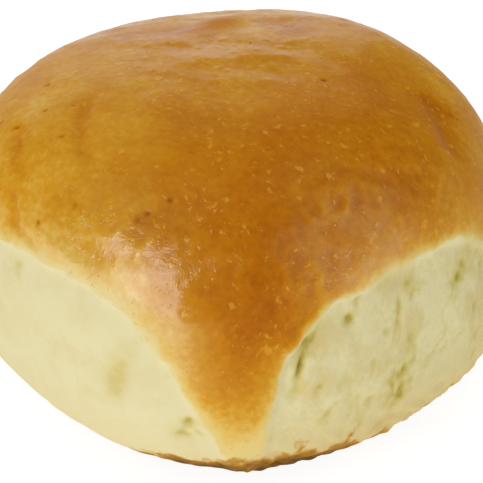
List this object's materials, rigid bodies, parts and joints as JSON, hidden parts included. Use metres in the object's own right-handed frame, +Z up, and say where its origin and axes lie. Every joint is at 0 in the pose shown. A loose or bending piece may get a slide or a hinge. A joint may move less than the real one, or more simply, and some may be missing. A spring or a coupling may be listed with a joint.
{
  "type": "bread roll",
  "caption": "Soft pull-apart dinner roll: domed glossy browned crust draped over four corners, pale torn crumb walls between them, flat baked base.",
  "frame": {"origin": "centre of the bounding box's bottom, on the surface that the roll stands on", "axes": "+Z up through the crown, +X and +Y out of two neighbouring torn walls"},
  "size_m": [0.0678, 0.0746, 0.0471],
  "materials": {
    "crust": "egg-washed browned crust, satin to glossy, over pale soft crumb"
  },
  "bodies": {
    "root": {"bread_roll": "crust"}
  },
  "joints": []
}
